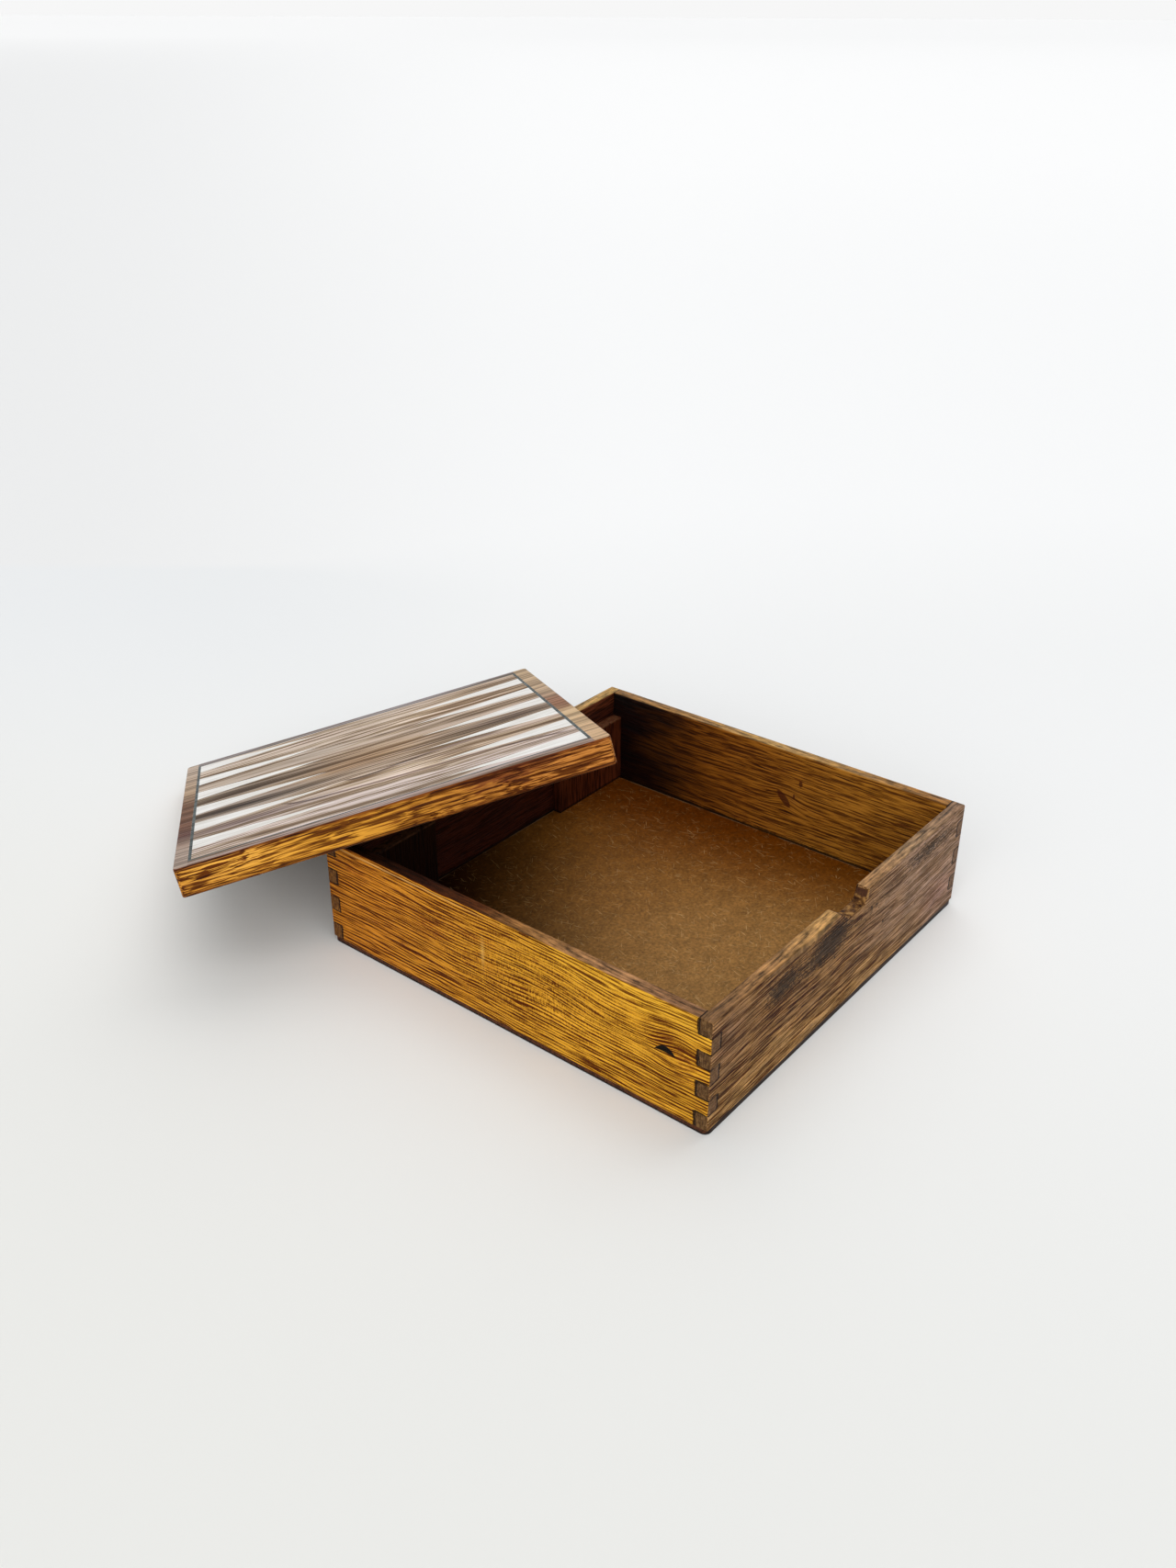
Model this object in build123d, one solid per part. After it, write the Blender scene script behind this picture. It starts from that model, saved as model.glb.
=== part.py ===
from build123d import *
import os
from math import asin, atan2, cos, hypot, radians, sin

# A square wooden box for papers and keepsakes. Its loose inlaid lid leans against the back wall.
# Sizes are in millimetres and +Z is up. The notched front wall faces -Y.
# The origin is at the centre of the underside.

# Walls
box_side = 240.0  # outside width and depth
wall_height = 59.5
wall_thickness = 7.0
finger_count = 7  # equal divisions of each corner joint, an odd number
corner_radius = 0.8  # worn upright outer corners
rim_radius = 1.1  # worn edges of the rim and of the notch

# Base panel under the walls, and the loose sheet that lies on it inside
base_thickness = 3.2
base_corner_radius = 3.6
base_edge_radius = 0.5
sheet_thickness = 1.6
sheet_gap = 0.5  # from the sheet's edge to the walls

# Finger notch in the front rim: sloping on the left and steep on the right
notch_width = 28.5
notch_depth = 8.0
notch_shift = -0.25  # from the middle of the wall to the middle of the notch
notch_slope_run = 11.5  # sideways run of the sloping side, from rim to floor
notch_steep_run = 2.5  # the same for the steep side
notch_slope_radius = 9.0  # between the sloping side and the floor
notch_steep_radius = 4.0  # between the floor and the steep side
notch_lip_radius = 2.5  # worn lip at the top of the sloping side

# Blocks in the four corners that carry the lid
block_width = 60.0
block_thickness = 6.0
block_edge_radius = 0.6

# Lid
lid_thickness = 15.3
lid_clearance = 0.5  # all round in the opening between the walls
lid_corner_radius = 2.5
lid_edge_radius = 0.6

# Inlays let into the lid's top
inlay_depth = 1.5
string_inset = 7.2  # from the lid's edge to the border string
right_inset = 8.8  # the same at the right end, where the border is wider
string_width = 1.6
point_count = 6  # tapered points along each end
point_width = 17.0  # at its base, on the string
point_length = 74.6

# Leaning lid: the underside lies on the back rim and the lowest corner comes down to the floor
lean_turn = 35.8  # degrees that the lid is turned in its own plane
lean_overhang = 45.4  # down the slope, from the rim to the middle of the lid
lean_shift = -38.3  # sideways, from the middle of the box to the middle of the lid
lean_clearance = 0.3  # at the rim and at the floor

# Heights and widths that follow from the sizes above
rim_height = base_thickness + wall_height
finger_height = wall_height / finger_count
inside = box_side - 2 * wall_thickness
sheet_top = base_thickness + sheet_thickness
block_height = rim_height - lid_thickness - sheet_top
lid_side = inside - 2 * lid_clearance

seated = (Align.CENTER, Align.CENTER, Align.MIN)
nodes = {}


def finger_boxes(divisions):
    """The given divisions of the wall height, at all four corners."""
    middle = (box_side - wall_thickness) / 2
    boxes = Part()
    for division in divisions:
        level = base_thickness + division * finger_height
        for x in (-middle, middle):
            for y in (-middle, middle):
                boxes += Pos(x, y, level) * Box(wall_thickness, wall_thickness, finger_height, align=seated)
    return boxes


def wall_slab(x, y):
    """The full run of one wall, corners included; x and y are -1, 0 or 1, towards its outer face."""
    middle = (box_side - wall_thickness) / 2
    length_x = wall_thickness if x else box_side
    length_y = wall_thickness if y else box_side
    slab = Box(length_x, length_y, wall_height, align=seated)
    return Pos(x * middle, y * middle, base_thickness) * slab


# The four walls as one ring
frame = Box(box_side, box_side, wall_height, align=seated)
frame = fillet(frame.edges().filter_by(Axis.Z), corner_radius)
frame -= Box(inside, inside, wall_height, align=seated)
frame = Pos(0, 0, base_thickness) * frame

# Notch through the front of the ring
notch_left = notch_shift - notch_width / 2
notch_right = notch_shift + notch_width / 2
notch_bottom = rim_height - notch_depth
notch_top = rim_height + notch_depth
scoop = FilletPolyline(
    (notch_left, rim_height),
    (notch_left + notch_slope_run, notch_bottom),
    (notch_right - notch_steep_run, notch_bottom),
    (notch_right, rim_height),
    radius=[notch_slope_radius, notch_steep_radius],
)
mouth = Polyline(
    (notch_left, rim_height),
    (notch_left, notch_top),
    (notch_right, notch_top),
    (notch_right, rim_height),
)
notch = extrude(Plane.XZ * make_face(scoop + mouth), amount=box_side / 2)
frame -= notch

# Worn edges: first the lip of the slope, then the rim, which runs on into the notch
rim_face = frame.faces().sort_by(Axis.Z)[-1]
lip = rim_face.edges().filter_by(Axis.Y).group_by(SortBy.LENGTH)[0].sort_by(Axis.X)[0]
frame = fillet(lip, notch_lip_radius)
rim_face = frame.faces().sort_by(Axis.Z)[-1]
notch_ends = rim_face.edges().filter_by(Axis.Y).group_by(SortBy.LENGTH)[0]
frame = fillet(rim_face.edges().filter_by(lambda edge: edge not in notch_ends), rim_radius)

# The ring divided into walls at the finger joints
long_wall_fingers = finger_boxes(range(0, finger_count, 2))
side_wall_fingers = finger_boxes(range(1, finger_count, 2))
nodes["front_wall"] = (frame & wall_slab(0, -1)) - side_wall_fingers
nodes["back_wall"] = (frame & wall_slab(0, 1)) - side_wall_fingers
nodes["left_wall"] = (frame & wall_slab(-1, 0)) - long_wall_fingers
nodes["right_wall"] = (frame & wall_slab(1, 0)) - long_wall_fingers

# Base panel and the sheet on it
base_panel = Box(box_side, box_side, base_thickness, align=seated)
base_panel = fillet(base_panel.edges().filter_by(Axis.Z), base_corner_radius)
nodes["base_panel"] = fillet(base_panel.edges().group_by(Axis.Z)[0], base_edge_radius)
sheet_side = inside - 2 * sheet_gap
nodes["floor_sheet"] = Pos(0, 0, base_thickness) * Box(sheet_side, sheet_side, sheet_thickness, align=seated)

# Corner blocks, flat against the front and back walls, with their free edges worn
block_x = (inside - block_width) / 2
block_y = (inside - block_thickness) / 2
for end, y in (("front", -1), ("back", 1)):
    for hand, x in (("left", -1), ("right", 1)):
        block = Pos(x * block_x, y * block_y, sheet_top) * Box(
            block_width, block_thickness, block_height, align=seated
        )
        inner_face = block.faces().filter_by(Axis.Y).sort_by(Axis.Y)[0 if y > 0 else -1]
        top_edge = inner_face.edges().sort_by(Axis.Z)[-1]
        free_edge = inner_face.edges().filter_by(Axis.Z).sort_by(Axis.X)[-1 if x < 0 else 0]
        nodes[f"{end}_{hand}_block"] = fillet([top_edge, free_edge], block_edge_radius)

# Inlays, in the lid's own frame: the origin is in the middle of its underside
inlay_floor = lid_thickness - inlay_depth
border_depth = lid_side - 2 * string_inset
field_depth = border_depth - 2 * string_width
point_pitch = field_depth / point_count
string_y = (border_depth - string_width) / 2
field_left = -lid_side / 2 + string_inset + string_width
field_right = lid_side / 2 - right_inset - string_width
field_middle = (field_left + field_right) / 2
inlays = {}

end_string = Box(string_width, border_depth, inlay_depth, align=seated)
inlays["left_string"] = Pos(field_left - string_width / 2, 0, inlay_floor) * end_string
inlays["right_string"] = Pos(field_right + string_width / 2, 0, inlay_floor) * end_string
side_string = Box(field_right - field_left, string_width, inlay_depth, align=seated)
inlays["near_string"] = Pos(field_middle, -string_y, inlay_floor) * side_string
inlays["far_string"] = Pos(field_middle, string_y, inlay_floor) * side_string

for step in range(point_count):
    for hand, x, base_x, stagger in (("left", -1, field_left, 0.75), ("right", 1, field_right, 0.25)):
        middle_y = (step + stagger) * point_pitch - field_depth / 2
        outline = Polyline(
            (base_x, middle_y - point_width / 2),
            (base_x, middle_y + point_width / 2),
            (base_x - x * point_length, middle_y),
            close=True,
        )
        point = extrude(make_face(outline), amount=inlay_depth, dir=(0, 0, 1))
        inlays[f"{hand}_point_{step + 1}"] = Pos(0, 0, inlay_floor) * point

# Lid board with a pocket for each inlay
lid_board = Box(lid_side, lid_side, lid_thickness, align=seated)
lid_board = fillet(lid_board.edges().filter_by(Axis.Z), lid_corner_radius)
lid_faces = lid_board.faces().filter_by(Axis.Z)
lid_board = fillet(lid_faces.edges(), lid_edge_radius)
for inlay in inlays.values():
    lid_board -= inlay

# Where the lid leans. Its tilt follows from two contacts: the flat underside on the back rim's
# worn outer edge, and the worn lowest corner on the floor.
turn = radians(lean_turn)
corner_reach = (lid_side / 2 - lid_corner_radius) * (cos(turn) + sin(turn)) + lid_corner_radius
fall = rim_height - rim_radius - lid_edge_radius - lean_clearance
standoff = rim_radius + lid_edge_radius + lean_clearance
run = lean_overhang + corner_reach - lid_edge_radius
tilt = atan2(standoff, run) + asin(fall / hypot(run, standoff))

normal = Vector(0, sin(tilt), cos(tilt))
down_slope = Vector(0, cos(tilt), -sin(tilt))
rim_edge = Vector(lean_shift, box_side / 2 - rim_radius, rim_height - rim_radius)
lid_middle = rim_edge + normal * (rim_radius + lean_clearance) + down_slope * lean_overhang
lid_x = Vector(cos(turn), 0, 0) - down_slope * sin(turn)
lean = Location(Plane(origin=lid_middle, x_dir=lid_x, z_dir=normal))

nodes["lid_board"] = lean * lid_board
for name, inlay in inlays.items():
    nodes[name] = lean * inlay

os.makedirs("parts", exist_ok=True)
for name, solid in nodes.items():
    export_step(solid, f"parts/{name}.step")
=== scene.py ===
from math import cos, pi, radians, sin

import bpy
from mathutils import Euler, Matrix, Vector

# Looks of the square wooden box and its leaning inlaid lid. Sizes of the object and places in its
# textures are in millimetres. The camera's and the floor's distances are in metres, as Blender's are.
# In the functions of the materials, g is the node graph that they build.

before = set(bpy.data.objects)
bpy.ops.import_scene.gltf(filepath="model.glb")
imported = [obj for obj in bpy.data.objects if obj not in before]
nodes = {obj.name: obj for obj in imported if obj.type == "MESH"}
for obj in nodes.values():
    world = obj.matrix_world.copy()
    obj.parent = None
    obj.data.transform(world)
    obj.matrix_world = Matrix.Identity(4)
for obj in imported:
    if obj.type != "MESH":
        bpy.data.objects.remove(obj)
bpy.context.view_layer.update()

# Box
BOX = 240.0  # outside width and depth
WALL = 7.0  # thickness
BASE = 3.2  # height of the base panel
RIM = 62.7  # height of the rim
FINGERS = 7  # divisions of each corner joint
NOTCH_LEFT = -14.5
NOTCH_RIGHT = 14.0
SHEET_TOP = 4.8

# Lid and its inlays
LID = 225.0  # width and depth
LID_THICK = 15.3
STRING_INSET = 7.2  # from the lid's edge to the border line
RIGHT_INSET = 8.8  # the same at the right end
POINTS = 6  # along each end

# Places that follow from those, from the middle of the box or of the lid
INNER = BOX / 2 - WALL
FINGER = (RIM - BASE) / FINGERS
STRING_LEFT = -LID / 2 + STRING_INSET
STRING_RIGHT = LID / 2 - RIGHT_INSET
STRING_FAR = LID / 2 - STRING_INSET

ORIGIN = Vector((0, 0, 0))
X, Y, Z = Vector((1, 0, 0)), Vector((0, 1, 0)), Vector((0, 0, 1))

# The leaning lid's own axes and the middle of its underside
LEAN_TURN = radians(35.8)
LEAN_TILT = radians(18.159)
LID_NORMAL = Vector((0, sin(LEAN_TILT), cos(LEAN_TILT)))
DOWN_SLOPE = Vector((0, cos(LEAN_TILT), -sin(LEAN_TILT)))
LID_X = Vector((cos(LEAN_TURN), 0, 0)) - DOWN_SLOPE * sin(LEAN_TURN)
LID_Y = LID_NORMAL.cross(LID_X)
LID_MIDDLE = Vector((-38.3, 162.475, 48.781))

# The photograph's camera
CAMERA_PLACE = Vector((-0.517015, -0.369222, 0.432628))
CAMERA_TILT = radians(61.2568)  # up from straight down
CAMERA_ROLL = radians(-0.1968)
CAMERA_TURN = radians(-51.3121)
PHOTO_HEIGHT = 1707  # in pixels
FOCAL_LENGTH = 1525.04  # in the same pixels
SENSOR = 36.0  # in millimetres, along the photograph's height

# The floor as the camera sees it: ahead and aside are directions on the floor
AHEAD = Vector((0.7817, 0.6236, 0))
ASIDE = Vector((0.6236, -0.7817, 0))
CAMERA_BEHIND = 0.634  # from the origin back to the point under the camera
BACKDROP = 0.555  # from the origin on to the line where the backdrop starts
FLOOR_REACH = 400.0

# How far dark and pale wood go from the middle colour, in red, green and blue
DARKER = (0.66, 0.74, 0.82)
PALER = (0.42, 0.52, 1.00)


def tone(red, green, blue):
    """A linear colour from the 0 to 255 values that a screen shows."""
    def linear(value):
        share = value / 255
        return share / 12.92 if share <= 0.04045 else ((share + 0.055) / 1.055) ** 2.4
    return (linear(red), linear(green), linear(blue), 1.0)


class Graph:
    """One material's node graph, with short calls for the sums that the textures need."""

    def __init__(self, name):
        self.material = bpy.data.materials.new(name)
        self.material.use_nodes = True
        self.nodes = self.material.node_tree.nodes
        self.links = self.material.node_tree.links
        self.shader = self.nodes["Principled BSDF"]
        self.coordinates = self.nodes.new("ShaderNodeTexCoord")

    def feed(self, socket, value):
        if isinstance(value, bpy.types.NodeSocket):
            self.links.new(value, socket)
        elif isinstance(value, Vector):
            socket.default_value = tuple(value)
        else:
            socket.default_value = value

    def math(self, operation, *values):
        node = self.nodes.new("ShaderNodeMath")
        node.operation = operation
        for socket, value in zip(node.inputs, values):
            self.feed(socket, value)
        return node.outputs[0]

    def chain(self, operation, values):
        """One operation over all the values in turn."""
        total = values[0]
        for value in values[1:]:
            total = self.math(operation, total, value)
        return total

    def add(self, *values):
        return self.chain("ADD", values)

    def mul(self, *values):
        return self.chain("MULTIPLY", values)

    def most(self, *values):
        return self.chain("MAXIMUM", values)

    def sub(self, a, b):
        return self.math("SUBTRACT", a, b)

    def invert(self, value):
        return self.math("SUBTRACT", 1.0, value)

    def span(self, value):
        return self.math("ABSOLUTE", value)

    def line(self, value, slope, start):
        """The value times the slope, on top of the start."""
        return self.math("MULTIPLY_ADD", value, slope, start)

    def step(self, value, low, high, to_low=0.0, to_high=1.0):
        """Smoothly from to_low at low to to_high at high, whichever of the two is larger."""
        node = self.nodes.new("ShaderNodeMapRange")
        node.interpolation_type = "SMOOTHSTEP"
        for socket, number in zip(node.inputs, (value, low, high, to_low, to_high)):
            self.feed(socket, number)
        return node.outputs["Result"]

    def band(self, value, middle, half, soft):
        """1 within half of middle, fading out over soft."""
        return self.step(self.span(self.sub(value, middle)), half, half + soft, 1.0, 0.0)

    def bell(self, a, b, middle_a, middle_b, size_a, size_b):
        """A smooth hill: 1 in the middle, about a third of that at the sizes."""
        da = self.math("DIVIDE", self.sub(a, middle_a), size_a)
        db = self.math("DIVIDE", self.sub(b, middle_b), size_b)
        return self.math("EXPONENT", self.mul(-1.0, self.add(self.mul(da, da), self.mul(db, db))))

    def vector(self, x, y, z):
        node = self.nodes.new("ShaderNodeCombineXYZ")
        for socket, value in zip(node.inputs, (x, y, z)):
            self.feed(socket, value)
        return node.outputs[0]

    def dot(self, a, b):
        node = self.nodes.new("ShaderNodeVectorMath")
        node.operation = "DOT_PRODUCT"
        self.feed(node.inputs[0], a)
        self.feed(node.inputs[1], b)
        return node.outputs["Value"]

    def noise(self, place, detail=2.0, roughness=0.5):
        """Noise from 0 to 1 at a place of three coordinates."""
        node = self.nodes.new("ShaderNodeTexNoise")
        self.feed(node.inputs["Vector"], self.vector(*place))
        node.inputs["Scale"].default_value = 1.0
        node.inputs["Detail"].default_value = detail
        node.inputs["Roughness"].default_value = roughness
        return node.outputs["Fac"]

    def curve(self, value, points):
        """A smooth line through the points, for a value from 0 to 1."""
        node = self.nodes.new("ShaderNodeFloatCurve")
        line = node.mapping.curves[0]
        line.points[0].location = points[0]
        line.points[-1].location = points[-1]
        for point in points[1:-1]:
            line.points.new(*point)
        node.mapping.update()
        self.feed(node.inputs["Value"], value)
        return node.outputs[0]

    def tones(self, value, *stops):
        """Colours along a value; each stop is a place from 0 to 1 and a colour."""
        node = self.nodes.new("ShaderNodeValToRGB")
        ramp = node.color_ramp
        while len(ramp.elements) < len(stops):
            ramp.elements.new(0.5)
        for element, (place, colour) in zip(ramp.elements, stops):
            element.position = place
            element.color = colour
        self.feed(node.inputs["Fac"], value)
        return node.outputs["Color"]

    def mix(self, factor, a, b, blend="MIX"):
        """Colour a where the factor is 0, and colour b where it is 1."""
        node = self.nodes.new("ShaderNodeMix")
        node.data_type = "RGBA"
        node.blend_type = blend
        colour_a, colour_b = node.inputs[6:8]
        self.feed(node.inputs["Factor"], factor)
        self.feed(colour_a, a)
        self.feed(colour_b, b)
        return node.outputs[2]

    def shade(self, colour, factor):
        """The colour times a number."""
        grey = self.nodes.new("ShaderNodeCombineColor")
        for socket in grey.inputs[:3]:
            self.feed(socket, factor)
        return self.mix(1.0, colour, grey.outputs[0], "MULTIPLY")

    def tint(self, factor, colour, stain):
        """The colour seen through a stain, where the factor is 1; it also lays on painted shade."""
        return self.mix(factor, colour, stain, "MULTIPLY")

    def place(self, axes, middle=ORIGIN):
        """Where the shaded point is, in millimetres along three axes from the middle."""
        scaled = self.nodes.new("ShaderNodeVectorMath")
        scaled.operation = "MULTIPLY_ADD"
        self.feed(scaled.inputs[0], self.coordinates.outputs["Object"])
        scaled.inputs[1].default_value = (1000, 1000, 1000)
        scaled.inputs[2].default_value = tuple(-middle)
        return [self.dot(scaled.outputs[0], axis) for axis in axes]

    def facing(self, axis):
        """How far the surface faces along the axis, from -1 to 1."""
        return self.dot(self.coordinates.outputs["Normal"], axis)

    def toward(self, axis):
        """1 on surfaces that face along the axis."""
        return self.step(self.facing(axis), 0.55, 0.85)

    def finish(self, colour, roughness, gloss, height=None, depth=0.0):
        """Joins colour, roughness and relief to the shader; depth is the relief in millimetres."""
        self.feed(self.shader.inputs["Base Color"], colour)
        self.feed(self.shader.inputs["Roughness"], roughness)
        self.shader.inputs["Specular IOR Level"].default_value = gloss
        if height is not None:
            bump = self.nodes.new("ShaderNodeBump")
            bump.inputs["Distance"].default_value = depth / 1000
            self.feed(bump.inputs["Height"], height)
            self.links.new(bump.outputs[0], self.shader.inputs["Normal"])
        return self.material


class Board(Graph):
    """Wood cut from one solid grain. It runs along u, and bends across v where the swells lift it.
    A swell is a middle along and across, its two sizes, and its height."""

    def __init__(self, name, along, across, depth, sway, swells=(), middle=ORIGIN):
        super().__init__(name)
        self.along = along
        self.u, self.v, self.w = self.place((along, across, depth), middle)
        self.flow = self.v
        slow, quick = self.waver(80, 30, 1.0), self.waver(22, 7, 1.0)
        bend = self.add(self.mul(slow, 9.0 * sway), self.mul(quick, 2.6 * sway))
        for *patch, height in swells:
            bend = self.add(bend, self.patch(*patch, -height))
        self.flow = self.add(self.v, bend)

    def patch(self, u, v, size_u, size_v, weight=1.0):
        """A soft patch on the board's broad faces, as strong as its weight in the middle."""
        hill = self.bell(self.u, self.v, u, v, size_u, size_v)
        return hill if weight == 1.0 else self.mul(hill, weight)

    def grain(self, along, across, detail=2.0, roughness=0.5, shift=0.0):
        """Noise stretched along the grain; the sizes are in millimetres."""
        u = self.line(self.u, 1 / along, shift)
        v = self.line(self.flow, 1 / across, shift)
        w = self.mul(self.w, 1 / across)
        return self.noise((u, v, w), detail, roughness)

    def waver(self, along, across, detail=2.0, roughness=0.5, shift=0.0):
        """The same noise, from -0.5 to 0.5."""
        return self.sub(self.grain(along, across, detail, roughness, shift), 0.5)

    def strands(self, thick, length, fine, wide, area, shift=0.0):
        """Light and dark strands round 0.5. Their spacing is twice thick, and fine, wide and area are
        the weights of the strands, of broader ones and of large patches."""
        close = self.waver(length, thick, 2.0, 0.55, shift)
        broad = self.waver(length * 2.2, thick * 3.0, 2.0, 0.5, 3.0 + shift)
        large = self.waver(48, 14, 2.0, 0.5, 5.0 + shift)
        return self.add(0.5, self.mul(close, fine), self.mul(broad, wide), self.mul(large, area))

    def ripple(self, pitch, wander=16.0):
        """Growth lines that follow the grain, from -1 to 1."""
        phase = self.mul(self.flow, 2 * pi / pitch)
        return self.math("SINE", self.add(phase, self.mul(self.grain(24, 3.5, 2.0, 0.5, 17.0), wander)))

    def pores(self, length, thick, low, high, shift=0.0):
        """Short dark dashes along the grain."""
        return self.step(self.grain(length, thick, 1.0, 0.5, shift), low, high)

    def wood(self, value, red, green, blue, depth=1.0):
        """Dark, middle and pale wood round one middle colour."""
        middle = tone(red, green, blue)
        dark = [part * (1 - share * depth) for part, share in zip(middle, DARKER)]
        pale = [part * (1 + share * depth) for part, share in zip(middle, PALER)]
        return self.tones(value, (0.32, (*dark, 1)), (0.5, middle), (0.68, (*pale, 1)))

    def rubbed(self, *stops):
        """The worn rim along the board: colours at places from 0 to 1, which can hold painted shade too,
        streaked, with darker edges.
        """
        share = self.line(self.u, 1 / BOX, 0.5)
        blotch = self.noise((self.mul(self.u, 0.16), self.mul(self.w, 0.3), 8.0), 3.0, 0.65)
        blotch = self.sub(blotch, 0.5)
        streak = self.noise((self.mul(self.u, 0.06), self.mul(self.w, 0.65), 3.0), 3.0, 0.6)
        streak = self.sub(streak, 0.5)
        across = self.sub(self.span(self.w), INNER + WALL / 2)
        edge = self.step(self.add(self.span(across), self.mul(blotch, 3.0)), WALL / 2 - 1.0, WALL / 2)
        light = self.add(1.04, self.mul(blotch, 2.6), self.mul(streak, 4.6), self.mul(edge, -0.35))
        places = [(place, tone(*colour)) for place, colour in stops]
        return self.shade(self.tones(share, *places), self.math("MAXIMUM", light, 0.25))


def seams(g):
    """Dark glue lines round the fingers of the corner joints, and across the rim at its corners."""
    x, y, z = g.place((X, Y, Z))
    face_x = g.step(g.span(g.facing(X)), 0.6, 0.75)
    face_y = g.step(g.span(g.facing(Y)), 0.6, 0.75)
    face_z = g.step(g.facing(Z), 0.6, 0.75)
    reach = g.add(g.mul(g.span(y), face_x), g.mul(g.span(x), face_y))
    ragged = g.noise((g.mul(x, 0.3), g.mul(y, 0.3), g.mul(z, 0.3)))
    width = g.line(ragged, 0.9, -0.22)
    level_width, upright_width = g.mul(width, 1.3), g.mul(width, 2.4)
    row = g.math("DIVIDE", g.sub(z, BASE), FINGER)
    to_line = g.mul(g.span(g.sub(g.math("FRACT", g.add(row, 0.5)), 0.5)), FINGER)
    inside = g.mul(g.step(z, BASE + 2, BASE + 2.5), g.step(z, RIM - 2.5, RIM - 2, 1.0, 0.0))
    level = g.mul(g.step(to_line, level_width, g.add(level_width, 0.15), 1.0, 0.0),
                  g.step(reach, INNER - 0.3, INNER), inside)
    odd = g.math("FLOORED_MODULO", g.math("FLOOR", row), 2.0)
    finger = g.add(g.mul(g.invert(odd), face_x), g.mul(odd, face_y))
    to_wall = g.span(g.sub(reach, INNER))
    upright = g.mul(finger, g.step(to_wall, upright_width, g.add(upright_width, 0.2), 1.0, 0.0))
    rim = g.mul(face_z, g.band(g.span(y), INNER, 0.22, 0.2), g.step(g.span(x), INNER - 0.6, INNER))
    return g.most(level, upright, rim)


def foot_shade(g, inner):
    """Painted shade along the bottom of a wall's inner face, where it meets the floor sheet."""
    ragged = g.noise((g.mul(g.u, 0.25), g.mul(g.v, 0.25), 5.0), 3.0, 0.7)
    height = g.sub(g.v, g.mul(ragged, 3.0))
    return g.mul(g.step(height, SHEET_TOP - 1.0, SHEET_TOP + 0.6, 1.0, 0.0), inner)


def finger_ends(g, colour):
    """Sawn finger ends. Faces to the left and right show the ends of the front and back walls, and
    faces to the front and back those of the side walls."""
    x, y, z = g.place((X, Y, Z))
    speck = g.noise((g.mul(x, 0.7), g.mul(y, 0.9), g.mul(z, 0.35)), 3.0, 0.6)
    sawn = g.noise((g.mul(x, 0.4), g.mul(y, 2.0), g.mul(z, 0.12)), 2.0, 0.6)
    value = g.add(g.mul(speck, 0.6), g.mul(sawn, 0.4))
    front = g.tones(value, (0.36, tone(50, 30, 14)), (0.5, tone(84, 58, 32)), (0.62, tone(126, 94, 58)))
    back = g.tones(value, (0.36, tone(46, 22, 6)), (0.5, tone(94, 56, 18)), (0.64, tone(140, 94, 36)))
    side = g.tones(value, (0.36, tone(78, 52, 36)), (0.5, tone(110, 80, 56)), (0.64, tone(138, 106, 80)))
    ends = g.mix(g.step(y, -50, 50), front, back)
    ends = g.mix(g.step(g.span(g.facing(Y)), 0.5, 0.7), ends, side)
    end_face = g.step(g.span(g.facing(g.along)), 0.55, 0.80)
    return g.mix(g.mul(end_face, 0.92), colour, ends)


def left_grain(g):
    """Close strands, wider spaced towards the back, with short marks across them in the middle."""
    fore = g.strands(0.52, 22.0, 2.4, 0.35, 0.25)
    aft = g.strands(0.74, 26.0, 2.8, 0.35, 0.25, 9.0)
    to_back = g.step(g.u, -20, 70)
    value = g.add(g.mul(fore, g.invert(to_back)), g.mul(aft, to_back), g.mul(g.ripple(1.8, 7.0), 0.22))
    return g.add(value, g.mul(g.waver(0.9, 3.0, 2.0, 0.5, 4.0), g.patch(-20, 36, 60, 24)))


def left_face(g, value):
    """Golden wood: deeper towards the back, yellow under the rim near the front, and reddish in spots."""
    to_back = g.step(g.add(g.u, g.mul(g.waver(40, 14), 60)), -60, 110)
    colour = g.mix(to_back, g.wood(value, 190, 132, 28, 1.25), g.wood(value, 166, 100, 20, 1.2))
    yellow = g.mul(g.step(g.u, 0, -70), g.step(g.add(g.v, g.mul(g.grain(30, 12), 16)), 54, 66))
    colour = g.mix(g.mul(yellow, 0.6), colour, g.wood(value, 206, 152, 38))
    uneven = g.add(1.0, g.patch(-42, 24, 28, 10, 0.10), g.patch(68, 40, 22, 10, 0.06),
                   g.patch(53, 22, 24, 10, -0.07), g.patch(-5, 32, 60, 26, -0.08),
                   g.patch(-95, 17, 22, 8, -0.10))
    colour = g.shade(colour, uneven)
    red = g.most(g.patch(47, 39, 12, 5, 0.7), g.patch(20, 47, 20, 2.5, 0.6), g.patch(100, 51, 9, 3, 0.7),
                 g.patch(8, 33, 14, 3, 0.35), g.patch(-107, 36, 4, 6, 0.9), g.patch(-98, 44, 7, 3, 0.7),
                 g.patch(-107, 25, 6, 3, 0.55), g.patch(-84, 13, 10, 2, 0.5))
    broken = g.step(g.grain(5, 1.6, 3.0, 0.6, 7.0), 0.38, 0.58)
    colour = g.mix(g.mul(red, broken), colour, g.wood(value, 132, 66, 16))
    colour = g.tint(g.mul(g.pores(9, 0.5, 0.58, 0.66), 0.6), colour, tone(160, 112, 70))
    pale_dash = g.patch(11.5, 40, 1.1, 7, 0.5)
    return g.mix(pale_dash, colour, tone(222, 176, 92))


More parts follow.
